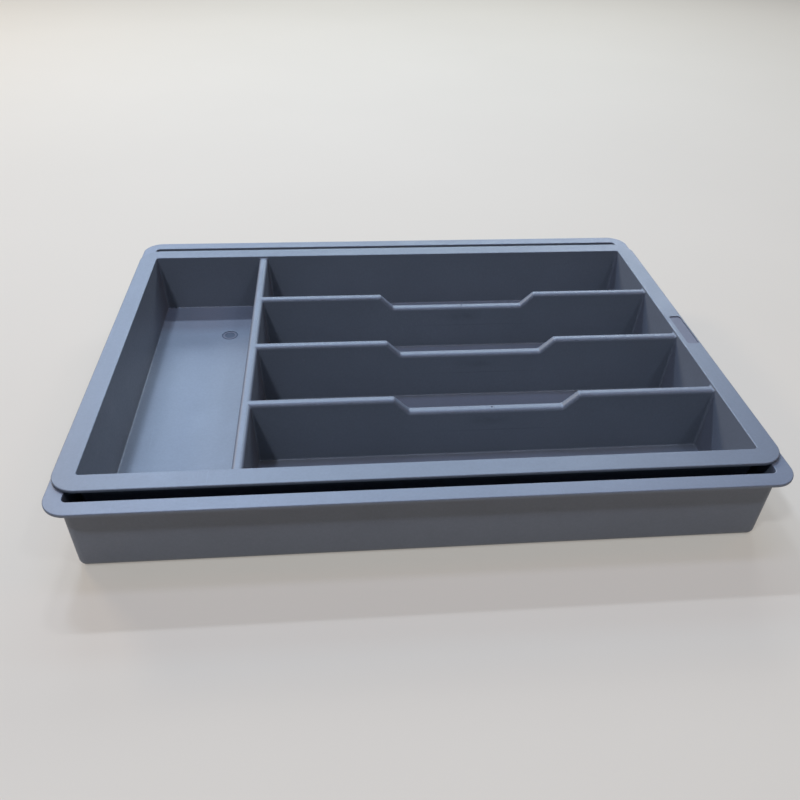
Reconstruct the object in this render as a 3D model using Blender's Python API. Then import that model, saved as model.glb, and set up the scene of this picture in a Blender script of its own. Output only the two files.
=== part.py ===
"""Nested cutlery tray: a plain outer tray, and a compartment tray that hangs in it by its rim.

World frame: metres, +X along the length, +Y to the back, +Z up, origin at the centre of the base.
Every wall leans inward on its way down, as a moulding has to in order to leave its tool.
"""

import math

import bmesh
import bpy
from mathutils import Matrix, Vector

MM = 0.001

# Outer tray
OUTER_RIM_LENGTH = 401.2 * MM
OUTER_RIM_DEPTH = 312.7 * MM
OUTER_HEIGHT = 48.4 * MM
OUTER_RIM_WIDTH = 9.7 * MM
OUTER_RIM_THICKNESS = 1.9 * MM
OUTER_RIM_CORNER = 14.0 * MM
OUTER_WALL = 1.8 * MM
OUTER_FLOOR = 2.0 * MM
OUTER_DRAFT = 0.85 * MM
OUTER_BODY_CORNER = 4.8 * MM
OUTER_BASE_ROUND = 4.4 * MM
OUTER_INSIDE_CORNER = 3.0 * MM
OUTER_INSIDE_ROUND = 2.0 * MM

# Compartment tray; its own origin is below the middle of its rim
INNER_REST_Y = -1.35 * MM
INNER_REST_GAP = 0.3 * MM
INNER_RIM_LENGTH = 400.0 * MM
INNER_RIM_DEPTH = 279.3 * MM
INNER_RIM_WIDTH = 12.6 * MM
INNER_RIM_THICKNESS = 1.87 * MM
INNER_RIM_CORNER = 15.0 * MM
INNER_WALL = 1.8 * MM
INNER_FLOOR = 1.8 * MM
INNER_FLOOR_TOP = 6.5 * MM
INNER_DRAFT_X = 2.8 * MM
INNER_DRAFT_Y = 2.1 * MM
INNER_BODY_CORNER = 3.6 * MM
INNER_BASE_ROUND = 2.4 * MM
RIM_EDGE_ROUND = 0.45 * MM

# Dividers, moulded in one with the compartment tray and hollow from below
LONG_DIVIDER_TOP = 49.1 * MM
CROSS_DIVIDER_TOP = 48.9 * MM
DIVIDER_TOP_WIDTH = 4.5 * MM
DIVIDER_TOP_ROUND = 1.6 * MM
DIVIDER_SKIN = 1.5 * MM
DIVIDER_ROOT = 1.0 * MM
LONG_DIVIDER_X = -103.85 * MM
CROSS_DIVIDER_YS = [-66.15 * MM, -2.3 * MM, 61.55 * MM]

# Finger notch in each cross divider
NOTCH_X = 43.4 * MM
NOTCH_TOP_LENGTH = 115.3 * MM
NOTCH_FLOOR_LENGTH = 96.1 * MM
NOTCH_DEPTH = 9.3 * MM

# Shallow panel in the right-hand rim
PANEL_LENGTH = 36.5 * MM
PANEL_WIDTH = 8.5 * MM
PANEL_Y = 1.65 * MM
PANEL_EDGE_MARGIN = 0.8 * MM
PANEL_CORNER = 1.5 * MM
PANEL_SINK = 0.5 * MM

# Round mould mark in the floor of the side compartment
MARK_X = -129.8 * MM
MARK_Y = 80.15 * MM
MARK_OUTER_DIAMETER = 12.4 * MM
MARK_INNER_DIAMETER = 10.4 * MM
MARK_SINK = 0.3 * MM

OVERCUT = 2.0 * MM

INNER_TOP = OUTER_HEIGHT + INNER_REST_GAP + INNER_RIM_THICKNESS
INNER_OPENING_LENGTH = INNER_RIM_LENGTH - 2 * INNER_RIM_WIDTH
INNER_OPENING_DEPTH = INNER_RIM_DEPTH - 2 * INNER_RIM_WIDTH
NOTCH_PROFILE = [
    (NOTCH_X - NOTCH_TOP_LENGTH / 2, 0.0),
    (NOTCH_X - NOTCH_FLOOR_LENGTH / 2, NOTCH_DEPTH),
    (NOTCH_X + NOTCH_FLOOR_LENGTH / 2, NOTCH_DEPTH),
    (NOTCH_X + NOTCH_TOP_LENGTH / 2, 0.0),
]


def clear_scene():
    for obj in list(bpy.data.objects):
        bpy.data.objects.remove(obj, do_unlink=True)


def make_collection(name):
    collection = bpy.data.collections.new(name)
    bpy.context.scene.collection.children.link(collection)
    return collection


def make_material(name, colour, roughness):
    material = bpy.data.materials.new(name)
    material.use_nodes = True
    shader = material.node_tree.nodes["Principled BSDF"]
    shader.inputs["Base Color"].default_value = (*colour, 1.0)
    shader.inputs["Roughness"].default_value = roughness
    shader.inputs["Metallic"].default_value = 0.0
    return material


def add_object(name, bm, collection):
    bmesh.ops.recalc_face_normals(bm, faces=bm.faces)
    mesh = bpy.data.meshes.new(name)
    bm.to_mesh(mesh)
    bm.free()
    mesh.shade_smooth()
    mesh.set_sharp_from_angle(angle=math.radians(30))
    obj = bpy.data.objects.new(name, mesh)
    collection.objects.link(obj)
    return obj


def combine(tray, name, bm, cutters, operation):
    """Join a hidden helper solid to the tray, or cut the tray with it, in the tray's own frame."""
    helper = add_object(name, bm, cutters)
    helper.parent = tray.parent
    helper.hide_render = True
    helper.display_type = "WIRE"
    modifier = tray.modifiers.new(name, "BOOLEAN")
    modifier.operation = operation
    modifier.solver = "EXACT"
    modifier.object = helper


def is_upright(edge):
    span = edge.verts[1].co - edge.verts[0].co
    return abs(span.z) > 0.9 * span.length


def lies_at(edge, z):
    return all(abs(vert.co.z - z) < 1e-6 for vert in edge.verts)


def bevel(bm, edges, radius, segments):
    bmesh.ops.bevel(
        bm, geom=edges, offset=radius, segments=segments, profile=0.5, affect="EDGES"
    )


def tapered_box(length, depth, z_low, z_high, draft=(0.0, 0.0)):
    """A box of full size at z_high, drawn in by the draft on every side at z_low."""
    bm = bmesh.new()
    bmesh.ops.create_cube(bm, size=1.0)
    for vert in bm.verts:
        upper = vert.co.z > 0
        inset_x, inset_y = (0.0, 0.0) if upper else draft
        vert.co.x *= length - 2 * inset_x
        vert.co.y *= depth - 2 * inset_y
        vert.co.z = z_high if upper else z_low
    bm.normal_update()
    return bm


def cavity_box(length, depth, z_floor, z_rim, draft):
    """A tapered box that has the given size at the rim and carries on past it at the same slope."""
    past = OVERCUT / (z_rim - z_floor)
    return tapered_box(
        length + 2 * draft[0] * past, depth + 2 * draft[1] * past, z_floor, z_rim + OVERCUT,
        (draft[0] * (1 + past), draft[1] * (1 + past)),
    )


def round_block(bm, z_low, corner, base_round):
    """Round a block's upright edges, then the edges around its lower face."""
    bevel(bm, [edge for edge in bm.edges if is_upright(edge)], corner, 6)
    bevel(bm, [edge for edge in bm.edges if lies_at(edge, z_low)], base_round, 4)
    return bm


def rim_plate(length, depth, z_low, z_high, corner):
    bm = tapered_box(length, depth, z_low, z_high)
    bevel(bm, [edge for edge in bm.edges if is_upright(edge)], corner, 10)
    outline = [edge for edge in bm.edges if lies_at(edge, z_low) or lies_at(edge, z_high)]
    bevel(bm, outline, RIM_EDGE_ROUND, 2)
    return bm


def lean(draft, drop):
    """How far a wall of the compartment tray comes in over a drop in height."""
    return draft * drop / (INNER_TOP - INNER_FLOOR_TOP)


def divider_bar(ends, top, half_top, drafts, z_low, profile):
    """A bar along X whose sides spread on the way down and whose ends follow the tray's walls.

    The profile lists (x, drop) breaks, where the bar is lower than its top.
    """
    start, end = ends
    end_draft, side_draft = drafts
    bm = bmesh.new()
    bmesh.ops.create_cube(bm, size=1.0)
    for vert in bm.verts:
        vert.co.x = start if vert.co.x < 0 else end
    for x, _ in profile:
        bmesh.ops.bisect_plane(
            bm, geom=bm.verts[:] + bm.edges[:] + bm.faces[:],
            plane_co=Vector((x, 0, 0)), plane_no=Vector((1, 0, 0)),
        )
    drops = {round(x, 6): drop for x, drop in profile}
    for vert in bm.verts:
        drop = drops.get(round(vert.co.x, 6), 0.0)
        vert.co.z = top - drop if vert.co.z > 0 else z_low
        fall = top - vert.co.z
        vert.co.y = math.copysign(half_top + lean(side_draft, fall), vert.co.y)
        if abs(vert.co.x - start) < 1e-6:
            vert.co.x += lean(end_draft, fall)
        if abs(vert.co.x - end) < 1e-6:
            vert.co.x -= lean(end_draft, fall)
    bm.normal_update()
    return bm


def divider(start, end, top, drafts, profile=()):
    """A solid divider, rooted in the walls and floor, with both edges of its top rounded."""
    ends = (start - DIVIDER_ROOT, end + DIVIDER_ROOT)
    z_low = INNER_FLOOR_TOP - DIVIDER_ROOT
    bm = divider_bar(ends, top, DIVIDER_TOP_WIDTH / 2, drafts, z_low, profile)
    shoulders = [
        edge for edge in bm.edges
        if not is_upright(edge)
        and min(vert.co.z for vert in edge.verts) > INNER_FLOOR_TOP
        and abs(edge.verts[1].co.x - edge.verts[0].co.x) > OVERCUT
    ]
    bevel(bm, shoulders, DIVIDER_TOP_ROUND, 4)
    return bm


def divider_hollow(start, end, top, drafts, profile=()):
    """The slot that hollows a divider from below and leaves a skin on every side."""
    half_top = DIVIDER_TOP_WIDTH / 2 - DIVIDER_SKIN
    z_low = INNER_FLOOR_TOP - INNER_FLOOR - OVERCUT
    bm = divider_bar((start, end), top, half_top, drafts, z_low, profile)
    for vert in bm.verts:
        if vert.co.z > z_low:
            vert.co.z -= DIVIDER_SKIN
    return bm


def turned_to_y(bm, x):
    bm.transform(Matrix.Translation((x, 0, 0)) @ Matrix.Rotation(math.pi / 2, 4, "Z"))
    return bm


def moved(bm, x, y):
    bm.transform(Matrix.Translation((x, y, 0)))
    return bm


def build_outer_tray(parts, cutters, material):
    opening_length = OUTER_RIM_LENGTH - 2 * OUTER_RIM_WIDTH
    opening_depth = OUTER_RIM_DEPTH - 2 * OUTER_RIM_WIDTH
    draft = (OUTER_DRAFT, OUTER_DRAFT)
    body = tapered_box(
        opening_length + 2 * OUTER_WALL, opening_depth + 2 * OUTER_WALL,
        0.0, OUTER_HEIGHT - OUTER_RIM_THICKNESS / 2, draft,
    )
    tray = add_object("outer_tray", round_block(body, 0.0, OUTER_BODY_CORNER, OUTER_BASE_ROUND), parts)
    tray.data.materials.append(material)
    rim = rim_plate(
        OUTER_RIM_LENGTH, OUTER_RIM_DEPTH, OUTER_HEIGHT - OUTER_RIM_THICKNESS, OUTER_HEIGHT,
        OUTER_RIM_CORNER,
    )
    combine(tray, "outer rim", rim, cutters, "UNION")
    cavity = cavity_box(opening_length, opening_depth, OUTER_FLOOR, OUTER_HEIGHT, draft)
    round_block(cavity, OUTER_FLOOR, OUTER_INSIDE_CORNER, OUTER_INSIDE_ROUND)
    combine(tray, "outer cavity", cavity, cutters, "DIFFERENCE")


def add_dividers(tray, cutters):
    """Join the long divider and the cross dividers to the tray, then hollow them from below."""
    wall_x = INNER_OPENING_LENGTH / 2
    wall_y = INNER_OPENING_DEPTH / 2
    reach_x = wall_x - DIVIDER_SKIN
    reach_y = wall_y - DIVIDER_SKIN
    drafts = (INNER_DRAFT_Y, INNER_DRAFT_X)
    solid = divider(-wall_y, wall_y, LONG_DIVIDER_TOP, drafts)
    hollow = divider_hollow(-reach_y, reach_y, LONG_DIVIDER_TOP, drafts)
    solids = [turned_to_y(solid, LONG_DIVIDER_X)]
    hollows = [turned_to_y(hollow, LONG_DIVIDER_X)]
    drafts = (INNER_DRAFT_X, INNER_DRAFT_Y)
    for y in CROSS_DIVIDER_YS:
        solid = divider(LONG_DIVIDER_X, wall_x, CROSS_DIVIDER_TOP, drafts, NOTCH_PROFILE)
        hollow = divider_hollow(LONG_DIVIDER_X, reach_x, CROSS_DIVIDER_TOP, drafts, NOTCH_PROFILE)
        solids.append(moved(solid, 0, y))
        hollows.append(moved(hollow, 0, y))
    for number, bm in enumerate(solids):
        combine(tray, f"divider {number}", bm, cutters, "UNION")
    for number, bm in enumerate(hollows):
        combine(tray, f"divider hollow {number}", bm, cutters, "DIFFERENCE")


def add_rim_panel(tray, cutters):
    """Sink the shallow panel into the right-hand rim."""
    bm = tapered_box(PANEL_WIDTH, PANEL_LENGTH, INNER_TOP - PANEL_SINK, INNER_TOP + OVERCUT)
    bevel(bm, [edge for edge in bm.edges if is_upright(edge)], PANEL_CORNER, 4)
    x = INNER_RIM_LENGTH / 2 - PANEL_EDGE_MARGIN - PANEL_WIDTH / 2
    combine(tray, "rim panel", moved(bm, x, PANEL_Y), cutters, "DIFFERENCE")


def add_mould_mark(tray, cutters):
    """Sink a ring-shaped groove into the side compartment's floor."""
    ring = bmesh.new()
    bmesh.ops.create_circle(ring, radius=MARK_INNER_DIAMETER / 2, segments=32)
    outline = bmesh.ops.extrude_edge_only(ring, edges=ring.edges[:])["geom"]
    outer = [item for item in outline if isinstance(item, bmesh.types.BMVert)]
    bmesh.ops.scale(
        ring, vec=Vector((1, 1, 1)) * MARK_OUTER_DIAMETER / MARK_INNER_DIAMETER, verts=outer
    )
    band = bmesh.ops.extrude_face_region(ring, geom=ring.faces[:])["geom"]
    upper = [item for item in band if isinstance(item, bmesh.types.BMVert)]
    bmesh.ops.translate(ring, vec=Vector((0, 0, MARK_SINK + OVERCUT)), verts=upper)
    bmesh.ops.translate(ring, vec=Vector((0, 0, INNER_FLOOR_TOP - MARK_SINK)), verts=ring.verts[:])
    combine(tray, "mould mark", moved(ring, MARK_X, MARK_Y), cutters, "DIFFERENCE")


def build_inner_tray(parts, cutters, material):
    """The compartment tray, carried by the empty that marks where it slides along Y."""
    carrier = bpy.data.objects.new("inner tray slide", None)
    carrier.location = (0, INNER_REST_Y, 0)
    parts.objects.link(carrier)
    underside = INNER_FLOOR_TOP - INNER_FLOOR
    draft = (INNER_DRAFT_X, INNER_DRAFT_Y)
    body = tapered_box(
        INNER_OPENING_LENGTH + 2 * INNER_WALL, INNER_OPENING_DEPTH + 2 * INNER_WALL,
        underside, INNER_TOP - INNER_RIM_THICKNESS / 2, draft,
    )
    round_block(body, underside, INNER_BODY_CORNER, INNER_BASE_ROUND)
    tray = add_object("inner_tray", body, parts)
    tray.data.materials.append(material)
    tray.parent = carrier
    rim = rim_plate(
        INNER_RIM_LENGTH, INNER_RIM_DEPTH, INNER_TOP - INNER_RIM_THICKNESS, INNER_TOP,
        INNER_RIM_CORNER,
    )
    combine(tray, "inner rim", rim, cutters, "UNION")
    cavity = cavity_box(
        INNER_OPENING_LENGTH, INNER_OPENING_DEPTH, INNER_FLOOR_TOP, INNER_TOP, draft
    )
    combine(tray, "inner cavity", cavity, cutters, "DIFFERENCE")
    add_dividers(tray, cutters)
    add_rim_panel(tray, cutters)
    add_mould_mark(tray, cutters)


def main():
    clear_scene()
    parts = make_collection("nested cutlery tray")
    cutters = make_collection("cutters")
    build_outer_tray(parts, cutters, make_material("outer grey", (0.17, 0.18, 0.20), 0.5))
    build_inner_tray(parts, cutters, make_material("inner grey", (0.20, 0.22, 0.26), 0.5))


main()
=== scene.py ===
"""Looks of the nested cutlery tray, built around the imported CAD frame.

Both trays are rebuilt here with their fine roundings and moulding marks. Their overall sizes come
from the CAD's boxes. The divider tops are wider and rounder than the CAD's plain ones.
"""

import math

import bmesh
import bpy
from mathutils import Matrix, Vector


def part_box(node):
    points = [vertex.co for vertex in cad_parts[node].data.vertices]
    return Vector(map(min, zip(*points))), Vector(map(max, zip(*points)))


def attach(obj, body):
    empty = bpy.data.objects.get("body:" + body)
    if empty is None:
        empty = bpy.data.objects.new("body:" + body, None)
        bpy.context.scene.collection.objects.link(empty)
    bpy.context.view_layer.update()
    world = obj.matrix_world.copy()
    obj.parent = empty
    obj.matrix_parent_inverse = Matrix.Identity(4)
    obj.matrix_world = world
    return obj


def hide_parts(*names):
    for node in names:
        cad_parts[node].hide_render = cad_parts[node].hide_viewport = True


MM = 0.001

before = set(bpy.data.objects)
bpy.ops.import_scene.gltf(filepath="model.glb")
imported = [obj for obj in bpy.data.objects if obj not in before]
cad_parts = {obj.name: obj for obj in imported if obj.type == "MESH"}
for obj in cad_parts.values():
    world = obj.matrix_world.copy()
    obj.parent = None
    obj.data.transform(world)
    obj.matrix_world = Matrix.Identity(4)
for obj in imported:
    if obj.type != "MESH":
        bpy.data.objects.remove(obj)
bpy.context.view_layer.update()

# Outer tray, besides what its CAD box gives
OUTER_RIM_WIDTH = 9.7 * MM
OUTER_RIM_THICKNESS = 1.9 * MM
OUTER_RIM_CORNER = 14.0 * MM
OUTER_WALL = 1.8 * MM
OUTER_FLOOR = 2.0 * MM
OUTER_DRAFT = 0.85 * MM
OUTER_BODY_CORNER = 4.8 * MM
OUTER_BASE_ROUND = 4.4 * MM
OUTER_INSIDE_CORNER = 3.0 * MM
OUTER_INSIDE_ROUND = 2.0 * MM

# Compartment tray
INNER_RIM_WIDTH = 12.6 * MM
INNER_RIM_THICKNESS = 1.87 * MM
INNER_RIM_CORNER = 15.0 * MM
INNER_WALL = 1.8 * MM
INNER_FLOOR = 1.8 * MM
INNER_DRAFT_X = 2.8 * MM
INNER_DRAFT_Y = 2.1 * MM
INNER_BODY_CORNER = 3.6 * MM
INNER_BASE_ROUND = 2.4 * MM
INNER_INSIDE_CORNER = 1.8 * MM

# Dividers and their finger notches
DIVIDER_TOP_BELOW_RIM = 1.5 * MM
DIVIDER_TOP_WIDTH = 6.3 * MM
DIVIDER_STEEPER = 0.9 * MM
DIVIDER_SKIN = 1.5 * MM
DIVIDER_ROOT = 1.0 * MM
LONG_DIVIDER_X = -103.85 * MM
CROSS_DIVIDER_YS = [-66.15 * MM, -2.3 * MM, 61.55 * MM]
NOTCH_X = 43.4 * MM
NOTCH_TOP_LENGTH = 115.3 * MM
NOTCH_FLOOR_LENGTH = 96.1 * MM
NOTCH_DEPTH = 9.5 * MM
NOTCH_BEND = 2.5 * MM
NOTCH_BEND_STEPS = 4

# Shallow moulded marks: a panel sunk in the right rim, a stepped ring in the left floor, and
# the dimple left by the plastic's inlet in the notch of the front and the back cross divider
PANEL_LENGTH = 36.5 * MM
PANEL_WIDTH = 8.1 * MM
PANEL_EDGE = 1.2 * MM
PANEL_Y = 1.65 * MM
PANEL_CORNER = 2.1 * MM
PANEL_SINK = 0.7 * MM
RING_X = -130.7 * MM
RING_Y = 80.15 * MM
RING_RADIUS = 6.2 * MM
RING_STEP_RADIUS = 5.2 * MM
RING_DISC_RADIUS = 3.9 * MM
RING_SINK = 0.35 * MM
RING_STEP_SINK = 0.08 * MM
RING_SLOPE = 0.15 * MM
INLET_X = 47.2 * MM
INLET_RADIUS = 1.3 * MM
INLET_SINK = 0.5 * MM

# Roundings of the finished edges
SHOULDER_ROUND = 2.2 * MM
RIM_TOP_ROUND = 0.6 * MM
RIM_LOWER_ROUND = 0.4 * MM
OPENING_ROUND = 0.5 * MM
FLOOR_FILLET = 1.0 * MM
WALL_FILLET = 1.5 * MM
DIVIDER_END_FILLET = 0.8 * MM
LARGEST_ROUND = SHOULDER_ROUND

# How far cutters reach past what they cut, how close counts as touching or as the same place,
# and what tells upright, flat, sharp and creased edges apart
OVERCUT = 2.0 * MM
TOUCH = 0.01 * MM
SAME_PLACE = 0.001 * MM
UPRIGHT_SHARE = 0.9
FLAT_ANGLE = math.radians(0.05)
SHARP_ANGLE = math.radians(30)
CREASE_ANGLE = math.radians(40)

# Painted shade on the cross dividers, a darker patch below the inlet and a painted shadow line under
# the notch, as centres and half sizes
SHADE_PATCH_X_REACH = 20.0 * MM
SHADE_PATCH_Z = 32.0 * MM
SHADE_PATCH_Z_REACH = 5.0 * MM
SHADE_PATCH_SHARE = 0.5
SHADOW_LINE_X = NOTCH_X + 12.0 * MM
SHADOW_LINE_X_REACH = 62.0 * MM
SHADOW_LINE_Z = 24.7 * MM
SHADOW_LINE_Z_REACH = 0.7 * MM
SHADOW_LINE_SHARE = 0.3
PAINTED_SHADE_STRENGTH = 0.4

# Colours and finishes
PLASTIC_COLOUR = (0.15, 0.16, 0.18)
OUTER_COLOUR = (0.165, 0.175, 0.2)
DULL_COLOUR = (0.135, 0.13, 0.15)
DARK_COLOUR = (0.085, 0.095, 0.115)
PLASTIC_ROUGHNESS = 0.46
DULL_ROUGHNESS = 0.55
PLASTIC_GLOSS = 0.5
DULL_GLOSS = 0.36
DARK_GLOSS = 0.2
NOISE_LOW = 0.3
NOISE_HIGH = 0.7
RUB_STRETCH = (900, 14, 300)
RUB_EDGE = 0.05
FLOOR_COLOUR = (0.34, 0.29, 0.23)
FLOOR_GLOW = (0.289, 0.277, 0.258)
FLOOR_ROUGHNESS = 0.8
FLOOR_GLOSS = 0.2


def box_size(low, high):
    return high.x - low.x, high.y - low.y


outer_low, outer_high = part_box("outer_tray")
inner_low, inner_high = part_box("inner_tray")
OUTER_LENGTH, OUTER_DEPTH = box_size(outer_low, outer_high)
OUTER_TOP = outer_high.z
INNER_LENGTH, INNER_DEPTH = box_size(inner_low, inner_high)
INNER_TOP = inner_high.z
INNER_UNDERSIDE = inner_low.z
INNER_FLOOR_TOP = INNER_UNDERSIDE + INNER_FLOOR
INNER_REST_Y = (inner_low.y + inner_high.y) / 2
OPENING_LENGTH = INNER_LENGTH - 2 * INNER_RIM_WIDTH
OPENING_DEPTH = INNER_DEPTH - 2 * INNER_RIM_WIDTH
DIVIDER_TOP = INNER_TOP - DIVIDER_TOP_BELOW_RIM


# ---------------------------------------------------------------- solids

def is_upright(edge):
    span = edge.verts[1].co - edge.verts[0].co
    return abs(span.z) > UPRIGHT_SHARE * span.length


def lies_at(edge, z):
    return all(abs(vert.co.z - z) < SAME_PLACE for vert in edge.verts)


def bevel(bm, edges, radius, segments):
    bmesh.ops.bevel(
        bm, geom=edges, offset=radius, segments=segments, profile=0.5, affect="EDGES"
    )


def tapered_box(length, depth, z_low, z_high, draft=(0.0, 0.0)):
    """A box of full size at z_high, drawn in by the draft on every side at z_low."""
    bm = bmesh.new()
    bmesh.ops.create_cube(bm, size=1.0)
    for vert in bm.verts:
        upper = vert.co.z > 0
        inset_x, inset_y = (0.0, 0.0) if upper else draft
        vert.co.x *= length - 2 * inset_x
        vert.co.y *= depth - 2 * inset_y
        vert.co.z = z_high if upper else z_low
    bm.normal_update()
    return bm


def cavity_box(length, depth, z_floor, z_rim, draft):
    """A tapered box that has the given size at the rim and carries on past it at the same slope."""
    past = OVERCUT / (z_rim - z_floor)
    return tapered_box(
        length + 2 * draft[0] * past, depth + 2 * draft[1] * past, z_floor, z_rim + OVERCUT,
        (draft[0] * (1 + past), draft[1] * (1 + past)),
    )


def round_upright(bm, radius, segments):
    bevel(bm, [edge for edge in bm.edges if is_upright(edge)], radius, segments)
    return bm


def round_level(bm, z, radius, segments):
    bevel(bm, [edge for edge in bm.edges if lies_at(edge, z)], radius, segments)
    return bm


def moved(bm, x=0.0, y=0.0, turn=0.0):
    bm.transform(Matrix.Translation((x, y, 0)) @ Matrix.Rotation(turn, 4, "Z"))
    return bm


def temporary_object(bm):
    bmesh.ops.recalc_face_normals(bm, faces=bm.faces)
    mesh = bpy.data.meshes.new("temporary")
    bm.to_mesh(mesh)
    bm.free()
    obj = bpy.data.objects.new("temporary", mesh)
    bpy.context.scene.collection.objects.link(obj)
    return obj


def evaluated_bmesh(obj):
    bpy.context.view_layer.update()
    graph = bpy.context.evaluated_depsgraph_get()
    bm = bmesh.new()
    bm.from_object(obj, graph)
    return bm


def combined(bm, steps):
    """Join or cut a solid with each step's (bmesh, operation) in turn, and return the result."""
    base = temporary_object(bm)
    helpers = []
    for solid, operation in steps:
        helper = temporary_object(solid)
        modifier = base.modifiers.new("step", "BOOLEAN")
        modifier.operation = operation
        modifier.solver = "EXACT"
        modifier.object = helper
        helpers.append(helper)
    result = evaluated_bmesh(base)
    for obj in [base, *helpers]:
        mesh = obj.data
        bpy.data.objects.remove(obj)
        bpy.data.meshes.remove(mesh)
    return result


def without_flat_edges(bm):
    """Drop the edges and points that a Boolean leaves inside flat faces."""
    bmesh.ops.remove_doubles(bm, verts=bm.verts[:], dist=SAME_PLACE)
    bmesh.ops.dissolve_limit(
        bm, angle_limit=FLAT_ANGLE, verts=bm.verts[:], edges=bm.edges[:]
    )
    return bm


def marked(bm, radius_of):
    """Give every edge the radius that radius_of says it is to be rounded by."""
    weights = bm.edges.layers.float.new("bevel_weight_edge")
    for edge in bm.edges:
        edge[weights] = radius_of(edge) / LARGEST_ROUND
    return bm


def rounded(bm, segments=4):
    """Round every marked edge, all in one pass."""
    obj = temporary_object(bm)
    modifier = obj.modifiers.new("round", "BEVEL")
    modifier.limit_method = "WEIGHT"
    modifier.width = LARGEST_ROUND
    modifier.segments = segments
    modifier.use_clamp_overlap = False
    modifier.miter_inner = "MITER_SHARP"
    result = evaluated_bmesh(obj)
    mesh = obj.data
    bpy.data.objects.remove(obj)
    bpy.data.meshes.remove(mesh)
    return result


# ---------------------------------------------------------------- dividers

def lean(draft, drop):
    """How far a wall of the compartment tray comes in over a drop in height."""
    return draft * drop / (INNER_TOP - INNER_FLOOR_TOP)


def bend_points(corner, before, after):
    """Points of an arc that rounds the corner between two straight stretches in the X-Z plane."""
    into = (corner - before).normalized()
    out = (after - corner).normalized()
    turn = into.angle(out)
    reach = NOTCH_BEND * math.tan(turn / 2)
    points = []
    for step in range(NOTCH_BEND_STEPS + 1):
        share = step / NOTCH_BEND_STEPS
        start = corner - into * reach * (1 - share)
        end = corner + out * reach * share
        points.append(start.lerp(end, share))
    return points


def notch_profile():
    """(x, drop) points along the finger notch, with its four bends rounded."""
    top = NOTCH_TOP_LENGTH / 2
    floor = NOTCH_FLOOR_LENGTH / 2
    outline = [(-2 * top, 0), (-top, 0), (-floor, NOTCH_DEPTH),
               (floor, NOTCH_DEPTH), (top, 0), (2 * top, 0)]
    corners = [Vector((NOTCH_X + x, drop)) for x, drop in outline]
    points = []
    for before, corner, after in zip(corners, corners[1:], corners[2:]):
        points.extend(bend_points(corner, before, after))
    return [(point.x, point.y) for point in points]


def divider_bar(ends, half_top, drafts, z_low, profile):
    """A bar along X whose sides spread on the way down and whose ends follow the tray's walls."""
    start, end = ends
    end_draft, side_draft = drafts
    stations = [(start, 0.0), *profile, (end, 0.0)]
    bm = bmesh.new()
    sections = []
    for x, drop in stations:
        top = DIVIDER_TOP - drop
        section = []
        for side, z in ((-1, z_low), (1, z_low), (1, top), (-1, top)):
            fall = DIVIDER_TOP - z
            inward = lean(end_draft, fall) * ((x == start) - (x == end))
            section.append(bm.verts.new((x + inward, side * (half_top + lean(side_draft, fall)), z)))
        sections.append(section)
    for near, far in zip(sections, sections[1:]):
        for i in range(4):
            j = (i + 1) % 4
            bm.faces.new((near[i], near[j], far[j], far[i]))
    bm.faces.new(sections[0])
    bm.faces.new(reversed(sections[-1]))
    bm.normal_update()
    return bm


def dividers():
    """The solid dividers and the slots that hollow them from below."""
    wall_x = OPENING_LENGTH / 2
    wall_y = OPENING_DEPTH / 2
    half_top = DIVIDER_TOP_WIDTH / 2
    root_z = INNER_FLOOR_TOP - DIVIDER_ROOT
    slot_z = INNER_UNDERSIDE - OVERCUT
    profile = notch_profile()
    long_drafts = (INNER_DRAFT_Y, INNER_DRAFT_X - DIVIDER_STEEPER)
    cross_drafts = (INNER_DRAFT_X, INNER_DRAFT_Y - DIVIDER_STEEPER)
    runs = [(LONG_DIVIDER_X, 0.0, math.pi / 2, (-wall_y, wall_y), long_drafts, [])]
    for y in CROSS_DIVIDER_YS:
        runs.append((0.0, y, 0.0, (LONG_DIVIDER_X, wall_x), cross_drafts, profile))
    solids = []
    slots = []
    for x, y, turn, (start, end), drafts, points in runs:
        long_run = turn > 0
        solid_ends = (start - DIVIDER_ROOT if long_run else start, end + DIVIDER_ROOT)
        solids.append(moved(divider_bar(solid_ends, half_top, drafts, root_z, points), x, y, turn))
        slot_ends = (start + DIVIDER_SKIN if long_run else start, end - DIVIDER_SKIN)
        slot = divider_bar(slot_ends, half_top - DIVIDER_SKIN, drafts, slot_z, points)
        for vert in slot.verts:
            if vert.co.z > slot_z:
                vert.co.z -= DIVIDER_SKIN
        slots.append(moved(slot, x, y, turn))
    return solids, slots


# ---------------------------------------------------------------- moulded marks

def panel_cutter():
    """The shallow panel in the right rim."""
    bm = tapered_box(PANEL_WIDTH, PANEL_LENGTH, INNER_TOP - PANEL_SINK, INNER_TOP + OVERCUT)
    round_upright(bm, PANEL_CORNER, segments=8)
    return moved(bm, INNER_LENGTH / 2 - PANEL_EDGE - PANEL_WIDTH / 2, PANEL_Y)


def ring_cutter():
    """The stepped round mark in the left floor: a disc, a raised ring and a groove round it."""
    profile = [
        (0.0, RING_SINK), (RING_DISC_RADIUS - RING_SLOPE, RING_SINK),
        (RING_DISC_RADIUS, RING_STEP_SINK), (RING_STEP_RADIUS, RING_STEP_SINK),
        (RING_STEP_RADIUS + RING_SLOPE, RING_SINK), (RING_RADIUS - RING_SLOPE, RING_SINK),
        (RING_RADIUS, 0.0), (RING_RADIUS, -OVERCUT), (0.0, -OVERCUT),
    ]
    bm = bmesh.new()
    verts = [bm.verts.new((radius, 0, INNER_FLOOR_TOP - sink)) for radius, sink in profile]
    edges = [bm.edges.new(pair) for pair in zip(verts, verts[1:])]
    bmesh.ops.spin(
        bm, geom=verts + edges, cent=(0, 0, 0), axis=(0, 0, 1), angle=2 * math.pi, steps=64
    )
    bmesh.ops.remove_doubles(bm, verts=bm.verts[:], dist=SAME_PLACE)
    return moved(bm, RING_X, RING_Y)


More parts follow.
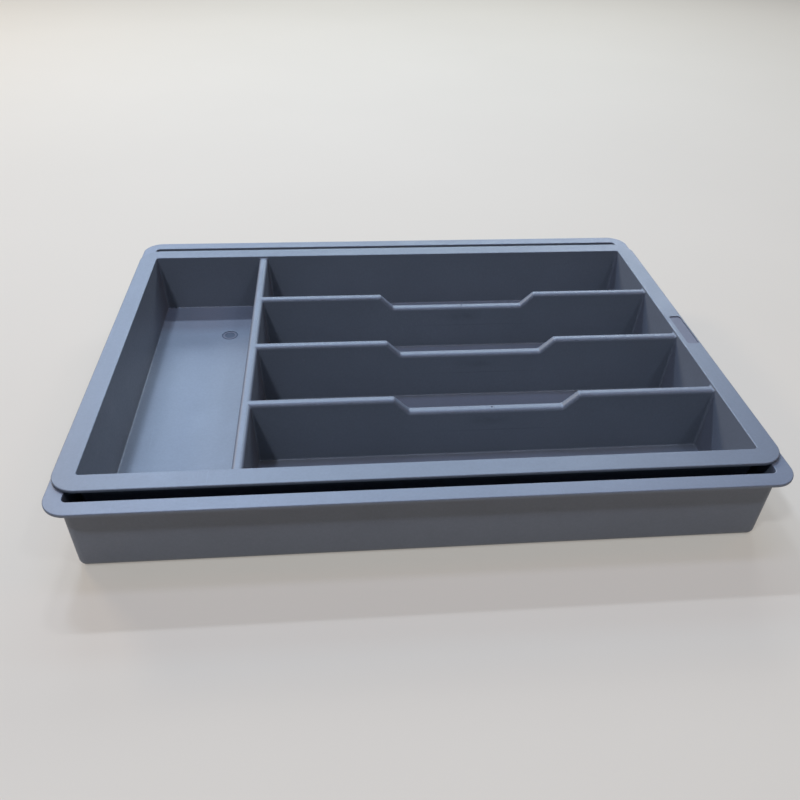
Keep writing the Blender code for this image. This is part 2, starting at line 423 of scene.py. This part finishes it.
def inlet_cutter(y):
    """The dimple where the plastic came in, on top of a cross divider in its finger notch."""
    bm = bmesh.new()
    bmesh.ops.create_uvsphere(bm, u_segments=24, v_segments=16, radius=INLET_RADIUS)
    centre_z = DIVIDER_TOP - NOTCH_DEPTH - INLET_SINK + INLET_RADIUS
    bm.transform(Matrix.Translation((INLET_X, y, centre_z)))
    return bm


def mark_finish(centre):
    """Which finish a face of the compartment tray has: 0 plain, 1 dull, 2 dark."""
    below_rim = INNER_TOP - centre.z
    below_floor = INNER_FLOOR_TOP - centre.z
    panel_x = INNER_LENGTH / 2 - PANEL_EDGE - PANEL_WIDTH / 2
    in_panel = (
        abs(centre.x - panel_x) < PANEL_WIDTH / 2 + TOUCH
        and abs(centre.y - PANEL_Y) < PANEL_LENGTH / 2 + TOUCH
    )
    if in_panel and TOUCH < below_rim < PANEL_SINK + TOUCH:
        return 1
    in_ring = math.hypot(centre.x - RING_X, centre.y - RING_Y) < RING_RADIUS
    if in_ring and TOUCH < below_floor < RING_SINK + TOUCH:
        return 1 if below_floor < RING_STEP_SINK + TOUCH else 2
    return 0


def with_mark_finishes(bm):
    for face in bm.faces:
        face.material_index = mark_finish(face.calc_center_median())
    return bm


# ---------------------------------------------------------------- trays

def outer_edge_radius(edge):
    if edge.calc_face_angle(0.0) < SHARP_ANGLE:
        return 0.0
    opening_x = OUTER_LENGTH / 2 - OUTER_RIM_WIDTH
    opening_y = OUTER_DEPTH / 2 - OUTER_RIM_WIDTH
    middle = (edge.verts[0].co + edge.verts[1].co) / 2
    past_opening = abs(middle.x) > opening_x + OVERCUT or abs(middle.y) > opening_y + OVERCUT
    if lies_at(edge, OUTER_TOP):
        return RIM_TOP_ROUND if past_opening else OPENING_ROUND
    if lies_at(edge, OUTER_TOP - OUTER_RIM_THICKNESS):
        return RIM_LOWER_ROUND
    return 0.0


def outer_tray_solid():
    opening_x = OUTER_LENGTH - 2 * OUTER_RIM_WIDTH
    opening_y = OUTER_DEPTH - 2 * OUTER_RIM_WIDTH
    draft = (OUTER_DRAFT, OUTER_DRAFT)
    body = tapered_box(
        opening_x + 2 * OUTER_WALL, opening_y + 2 * OUTER_WALL,
        0.0, OUTER_TOP - OUTER_RIM_THICKNESS / 2, draft,
    )
    round_upright(body, OUTER_BODY_CORNER, segments=12)
    round_level(body, 0.0, OUTER_BASE_ROUND, segments=8)
    rim = tapered_box(OUTER_LENGTH, OUTER_DEPTH, OUTER_TOP - OUTER_RIM_THICKNESS, OUTER_TOP)
    round_upright(rim, OUTER_RIM_CORNER, segments=20)
    cavity = cavity_box(opening_x, opening_y, OUTER_FLOOR, OUTER_TOP, draft)
    round_upright(cavity, OUTER_INSIDE_CORNER, segments=8)
    round_level(cavity, OUTER_FLOOR, OUTER_INSIDE_ROUND, segments=6)
    sharp = combined(body, [(rim, "UNION"), (cavity, "DIFFERENCE")])
    return rounded(marked(without_flat_edges(sharp), outer_edge_radius))


def inner_edge_radius(edge):
    if edge.calc_face_angle(0.0) < SHARP_ANGLE:
        return 0.0
    middle = (edge.verts[0].co + edge.verts[1].co) / 2
    past_opening = (
        abs(middle.x) > OPENING_LENGTH / 2 + OVERCUT or abs(middle.y) > OPENING_DEPTH / 2 + OVERCUT
    )
    if lies_at(edge, INNER_TOP):
        return RIM_TOP_ROUND if past_opening else OPENING_ROUND
    if lies_at(edge, INNER_TOP - INNER_RIM_THICKNESS) or middle.z < INNER_FLOOR_TOP - TOUCH:
        return RIM_LOWER_ROUND if past_opening else 0.0
    if lies_at(edge, INNER_FLOOR_TOP):
        return FLOOR_FILLET
    if edge.is_convex:
        return SHOULDER_ROUND
    return WALL_FILLET if is_upright(edge) else DIVIDER_END_FILLET


def inner_tray_solid():
    draft = (INNER_DRAFT_X, INNER_DRAFT_Y)
    body = tapered_box(
        OPENING_LENGTH + 2 * INNER_WALL, OPENING_DEPTH + 2 * INNER_WALL,
        INNER_UNDERSIDE, INNER_TOP - INNER_RIM_THICKNESS / 2, draft,
    )
    round_upright(body, INNER_BODY_CORNER, segments=8)
    round_level(body, INNER_UNDERSIDE, INNER_BASE_ROUND, segments=6)
    rim = tapered_box(INNER_LENGTH, INNER_DEPTH, INNER_TOP - INNER_RIM_THICKNESS, INNER_TOP)
    round_upright(rim, INNER_RIM_CORNER, segments=20)
    cavity = cavity_box(OPENING_LENGTH, OPENING_DEPTH, INNER_FLOOR_TOP, INNER_TOP, draft)
    round_upright(cavity, INNER_INSIDE_CORNER, segments=6)
    solids, slots = dividers()
    steps = [(rim, "UNION"), (cavity, "DIFFERENCE")]
    steps += [(solid, "UNION") for solid in solids]
    sharp = combined(body, steps)
    marked(without_flat_edges(sharp), inner_edge_radius)
    soft = rounded(combined(sharp, [(slot, "DIFFERENCE") for slot in slots]))
    marks = [panel_cutter(), ring_cutter()]
    marks += [inlet_cutter(y) for y in (CROSS_DIVIDER_YS[0], CROSS_DIVIDER_YS[2])]
    return with_mark_finishes(combined(soft, [(mark, "DIFFERENCE") for mark in marks]))


def finished_piece(name, bm, materials, body, node):
    mesh = bpy.data.meshes.new(name)
    bm.to_mesh(mesh)
    bm.free()
    for material in materials:
        mesh.materials.append(material)
    mesh.shade_smooth()
    mesh.set_sharp_from_angle(angle=CREASE_ANGLE)
    piece = bpy.data.objects.new(name, mesh)
    bpy.context.scene.collection.objects.link(piece)
    normals = piece.modifiers.new("face weighted normals", "WEIGHTED_NORMAL")
    normals.keep_sharp = True
    normals.weight = 50
    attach(piece, body)
    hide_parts(node)
    return piece


# ---------------------------------------------------------------- materials

class Nodes:
    """Short ways to add and link shader nodes in one material."""

    def __init__(self, name):
        self.material = bpy.data.materials.new(name)
        self.material.use_nodes = True
        self.tree = self.material.node_tree
        self.shader = self.tree.nodes["Principled BSDF"]

    def add(self, kind, inputs=(), **settings):
        node = self.tree.nodes.new(kind)
        for key, value in settings.items():
            setattr(node, key, value)
        for socket, value in dict(inputs).items():
            self.feed(node.inputs[socket], value)
        return node

    def feed(self, socket, value):
        if isinstance(value, bpy.types.NodeSocket):
            self.tree.links.new(value, socket)
        else:
            socket.default_value = value

    def math(self, operation, first, second=0.0):
        return self.add("ShaderNodeMath", {0: first, 1: second}, operation=operation).outputs[0]

    def noise(self, place, scale, detail=2.0, roughness=0.5):
        inputs = {"Vector": place, "Scale": scale, "Detail": detail, "Roughness": roughness}
        return self.add("ShaderNodeTexNoise", inputs).outputs["Fac"]

    def spread(self, value, low, high, to_low, to_high):
        """Stretch a value from one range to another, held at the ends."""
        inputs = {
            "Value": value, "From Min": low, "From Max": high, "To Min": to_low, "To Max": to_high,
        }
        return self.add("ShaderNodeMapRange", inputs).outputs["Result"]

    def varied(self, noise, low, high):
        """Stretch a noise over a range."""
        return self.spread(noise, NOISE_LOW, NOISE_HIGH, low, high)

    def scaled(self, colour, shade):
        inputs = {0: colour, "Scale": shade}
        return self.add("ShaderNodeVectorMath", inputs, operation="SCALE").outputs["Vector"]

    def bump(self, height, strength, distance, normal=None):
        inputs = {"Height": height, "Strength": strength, "Distance": distance}
        if normal:
            inputs["Normal"] = normal
        return self.add("ShaderNodeBump", inputs).outputs["Normal"]


def scratches(nodes, place, turn, threshold):
    """Thin straight rub marks, all running one way."""
    stretched = nodes.add(
        "ShaderNodeMapping", {"Vector": place, "Rotation": (0, 0, turn), "Scale": RUB_STRETCH}
    ).outputs["Vector"]
    streaks = nodes.noise(stretched, scale=1.0, detail=1.0)
    broken = nodes.noise(place, scale=25.0)
    fine = nodes.spread(streaks, threshold, threshold + RUB_EDGE, 0.0, 1.0)
    patches = nodes.spread(broken, 0.5, 0.6, 0.0, 1.0)
    return nodes.math("MULTIPLY", fine, patches)


def near(nodes, value, centre, half_width):
    """1 where the value is at the centre, falling smoothly to 0 at the half width."""
    away = nodes.math("ABSOLUTE", nodes.math("SUBTRACT", value, centre))
    return nodes.add(
        "ShaderNodeMapRange",
        {"Value": away, "From Min": 0.0, "From Max": half_width, "To Min": 1.0, "To Max": 0.0},
        interpolation_type="SMOOTHSTEP",
    ).outputs["Result"]


def painted_divider_shade(nodes, place):
    """Painted shade on the cross dividers: a darker patch below the inlet and a painted shadow line
    under the notch.
    """
    x, y, z = nodes.add("ShaderNodeSeparateXYZ", {0: place}).outputs
    middle_y = CROSS_DIVIDER_YS[1] + INNER_REST_Y
    reach_y = CROSS_DIVIDER_YS[2] - CROSS_DIVIDER_YS[1] + 10.0 * MM
    away_y = nodes.math("ABSOLUTE", nodes.math("SUBTRACT", y, middle_y))
    on_dividers = nodes.math("LESS_THAN", away_y, reach_y)
    ragged = nodes.varied(nodes.noise(place, scale=160.0, detail=3.0), 0.3, 1.0)
    patch_along = near(nodes, x, INLET_X, SHADE_PATCH_X_REACH)
    patch_height = near(nodes, z, SHADE_PATCH_Z, SHADE_PATCH_Z_REACH)
    shade_patch = nodes.math("MULTIPLY", nodes.math("MULTIPLY", patch_along, patch_height), ragged)
    shadow_line_along = near(nodes, x, SHADOW_LINE_X, SHADOW_LINE_X_REACH)
    shadow_line_height = near(nodes, z, SHADOW_LINE_Z, SHADOW_LINE_Z_REACH)
    shadow_line = nodes.math("MULTIPLY", shadow_line_height, shadow_line_along)
    both = nodes.math(
        "ADD",
        nodes.math("MULTIPLY", shade_patch, SHADE_PATCH_SHARE),
        nodes.math("MULTIPLY", shadow_line, SHADOW_LINE_SHARE),
    )
    return nodes.math("MULTIPLY", both, on_dividers)


def plastic_shade(nodes, place, rubs):
    """How much lighter or darker the plastic is: cloudy mottling, pigment grain and rub marks."""
    mottle = nodes.varied(nodes.noise(place, scale=16.0, detail=4.0, roughness=0.6), 0.95, 1.05)
    pigment = nodes.varied(nodes.noise(place, scale=700.0), 0.965, 1.035)
    shade = nodes.math("MULTIPLY", mottle, pigment)
    return nodes.math("ADD", shade, nodes.math("MULTIPLY", rubs, 0.1))


def plastic_roughness(nodes, place, rubs, roughness):
    """A fine satin roughness, smoother in handled smudges and duller in the rub marks."""
    smudge_noise = nodes.noise(place, scale=34.0, detail=5.0, roughness=0.65)
    smudges = nodes.spread(smudge_noise, 0.55, 0.75, 0.0, -0.07)
    satin = nodes.varied(nodes.noise(place, scale=500.0), roughness - 0.035, roughness + 0.035)
    handled = nodes.math("ADD", satin, smudges)
    return nodes.math("ADD", handled, nodes.math("MULTIPLY", rubs, 0.08))


def plastic_relief(nodes, place):
    """Slow waves in the moulded faces under a fine eroded grain."""
    slow = nodes.noise(place, scale=11.0, detail=1.0)
    grain = nodes.noise(place, scale=1500.0, detail=3.0, roughness=0.6)
    waves = nodes.bump(slow, strength=1.0, distance=0.1 * MM)
    return nodes.bump(grain, strength=0.5, distance=0.03 * MM, normal=waves)


def moulded_plastic(name, colour, roughness, offset, gloss=PLASTIC_GLOSS, marks=False):
    """Satin moulded plastic; the offset gives each material its own part of the noise."""
    nodes = Nodes(name)
    place = nodes.add("ShaderNodeTexCoord").outputs["Object"]
    shifted = nodes.add(
        "ShaderNodeMapping", {"Vector": place, "Location": (offset, 0, 0)}
    ).outputs["Vector"]
    rubs = nodes.math(
        "MAXIMUM",
        scratches(nodes, shifted, turn=0.5, threshold=0.68),
        scratches(nodes, shifted, turn=-1.1, threshold=0.7),
    )
    shade = plastic_shade(nodes, shifted, rubs)
    # Painted shade: darkens the cross dividers with a patch below the inlet and a shadow line under
    # the notch
    if marks:
        divider_shadow = nodes.math("MULTIPLY", painted_divider_shade(nodes, place), PAINTED_SHADE_STRENGTH)
        shade = nodes.math("SUBTRACT", shade, divider_shadow)
    inputs = nodes.shader.inputs
    nodes.feed(inputs["Specular IOR Level"], gloss)
    nodes.feed(inputs["Base Color"], nodes.scaled(colour, shade))
    nodes.feed(inputs["Roughness"], plastic_roughness(nodes, shifted, rubs, roughness))
    nodes.feed(inputs["Normal"], plastic_relief(nodes, shifted))
    return nodes.material


def studio_floor():
    """A plain pale matt floor that lifts the shadows on it a little."""
    nodes = Nodes("floor")
    place = nodes.add("ShaderNodeTexCoord").outputs["Object"]
    shade = nodes.varied(nodes.noise(place, scale=3.0, detail=3.0), 0.98, 1.02)
    inputs = nodes.shader.inputs
    nodes.feed(inputs["Base Color"], nodes.scaled(FLOOR_COLOUR, shade))
    nodes.feed(inputs["Roughness"], FLOOR_ROUGHNESS)
    nodes.feed(inputs["Specular IOR Level"], FLOOR_GLOSS)
    nodes.feed(inputs["Emission Color"], (*FLOOR_GLOW, 1.0))
    nodes.feed(inputs["Emission Strength"], 1.0)
    return nodes.material


# ---------------------------------------------------------------- stage

CAMERA_PLACE = Vector((-49.1, -440.4, 325.8)) * MM
CAMERA_PITCH = math.radians(36.61)
CAMERA_YAW = math.radians(5.889)
CAMERA_ROLL = math.radians(1.703)
CAMERA_LENS = 34.405
CAMERA_SENSOR = 36.0
CAMERA_CLIP_START = 0.01
WORLD_COLOUR = (0.7, 0.8, 1.0)
WORLD_STRENGTH = 0.02
LAMP_COLOUR = (0.69, 0.8, 1.0)
LAMP_DISTANCE = 1.8
FRONT_LAMP_DISTANCE = 1.7
SIDE_DISTANCE = 2.0
WINDOW_DISTANCE = 2.2
FLOOR_HALF_SIZE = 2.0


def add_camera():
    data = bpy.data.cameras.new("camera")
    data.lens = CAMERA_LENS
    data.sensor_width = CAMERA_SENSOR
    data.clip_start = CAMERA_CLIP_START
    camera = bpy.data.objects.new("camera", data)
    bpy.context.scene.collection.objects.link(camera)
    turn = (
        Matrix.Rotation(-CAMERA_YAW, 4, "Z")
        @ Matrix.Rotation(math.pi / 2 - CAMERA_PITCH, 4, "X")
        @ Matrix.Rotation(CAMERA_ROLL, 4, "Z")
    )
    camera.matrix_world = Matrix.Translation(CAMERA_PLACE) @ turn
    bpy.context.scene.camera = camera


def add_world():
    world = bpy.data.worlds.new("studio")
    world.use_nodes = True
    background = world.node_tree.nodes["Background"]
    background.inputs["Color"].default_value = (*WORLD_COLOUR, 1.0)
    background.inputs["Strength"].default_value = WORLD_STRENGTH
    bpy.context.scene.world = world


def direction_at(azimuth, elevation):
    """The way to a light; azimuth 0 is behind the trays, 90 to their right."""
    turn, rise = math.radians(azimuth), math.radians(elevation)
    return Vector((math.cos(rise) * math.sin(turn), math.cos(rise) * math.cos(turn), math.sin(rise)))


def add_area_light(name, azimuth, elevation, power, colour, distance, size):
    data = bpy.data.lights.new(name, "AREA")
    data.shape = "RECTANGLE"
    data.size, data.size_y = size
    data.energy = power
    data.color = colour
    light = bpy.data.objects.new(name, data)
    bpy.context.scene.collection.objects.link(light)
    direction = direction_at(azimuth, elevation)
    light.location = direction * distance
    light.rotation_euler = direction.to_track_quat("Z", "Y").to_euler()


def add_lamps():
    """The small ceiling lamps, which draw the shadow edges and the highlights on the dividers."""
    back = {"distance": LAMP_DISTANCE, "size": (0.18, 0.03)}
    front = {"distance": FRONT_LAMP_DISTANCE, "size": (0.15, 0.05), "colour": LAMP_COLOUR}
    add_area_light("lamp back left", -30, 55.2, power=10.6, colour=(0.53, 0.7, 1.0), **back)
    add_area_light("lamp back", -10, 58.6, power=6.2, colour=LAMP_COLOUR, **back)
    add_area_light("lamp front left", -143.5, 57.6, power=9.0, **front)
    add_area_light("lamp front right", 137, 58, power=3.2, **front)


def add_soft_lights():
    """The wide lights: overhead, windows behind, and weak fills in front and at both sides."""
    high = {"distance": LAMP_DISTANCE}
    window = {"distance": WINDOW_DISTANCE, "size": (0.5, 0.3)}
    low = {"distance": WINDOW_DISTANCE}
    side = {"distance": SIDE_DISTANCE, "size": (0.5, 0.5)}
    add_area_light("overhead", 0, 84, power=8.0, colour=(0.42, 0.58, 1.0), size=(1.0, 0.2), **high)
    add_area_light("high window", 0, 47, power=9.3, colour=(0.42, 0.7, 1.0), size=(1.6, 0.25), **high)
    add_area_light("window back right", 27, 29, power=9.1, colour=(0.77, 0.87, 1.0), **window)
    add_area_light("window back left", -20, 31, power=7.3, colour=(0.61, 0.77, 1.0), **window)
    add_area_light("doorway left", -45, 29, power=13.0, colour=(1.0, 0.88, 0.72), **window)
    add_area_light(
        "low window behind", 5, 26, power=5.7, colour=(0.77, 0.95, 1.0), size=(0.8, 0.2), **low
    )
    add_area_light("low front", 180, 24, power=1.9, colour=LAMP_COLOUR, size=(2.4, 0.8), **low)
    add_area_light("left", -90, 55, power=2.2, colour=(0.9, 0.67, 1.0), **side)
    add_area_light("right", 90, 55, power=2.2, colour=(1.0, 0.5, 0.2), **side)


def add_floor():
    bm = bmesh.new()
    bmesh.ops.create_grid(bm, x_segments=1, y_segments=1, size=FLOOR_HALF_SIZE)
    mesh = bpy.data.meshes.new("floor")
    bm.to_mesh(mesh)
    bm.free()
    mesh.materials.append(studio_floor())
    floor = bpy.data.objects.new("floor", mesh)
    bpy.context.scene.collection.objects.link(floor)


def plastics():
    """The outer tray's plastic, then the compartment tray's plain, dull and dark finishes."""
    outer = moulded_plastic("outer grey plastic", OUTER_COLOUR, PLASTIC_ROUGHNESS, offset=1.7)
    # The plain finish carries the painted shade on the cross dividers
    plain = moulded_plastic(
        "inner grey plastic", PLASTIC_COLOUR, PLASTIC_ROUGHNESS, offset=0.0, marks=True
    )
    dull = moulded_plastic(
        "dull mark plastic", DULL_COLOUR, DULL_ROUGHNESS, offset=0.3, gloss=DULL_GLOSS
    )
    dark = moulded_plastic(
        "dark mark plastic", DARK_COLOUR, DULL_ROUGHNESS, offset=0.6, gloss=DARK_GLOSS
    )
    return [outer], [plain, dull, dark]


def main():
    bpy.context.scene.view_settings.view_transform = "Standard"
    add_camera()
    outer_finishes, inner_finishes = plastics()
    outer = outer_tray_solid()
    finished_piece("outer_tray_shell", outer, outer_finishes, "outer", "outer_tray")
    inner = moved(inner_tray_solid(), y=INNER_REST_Y)
    finished_piece("inner_tray_shell", inner, inner_finishes, "inner", "inner_tray")
    add_world()
    add_lamps()
    add_soft_lights()
    add_floor()


main()
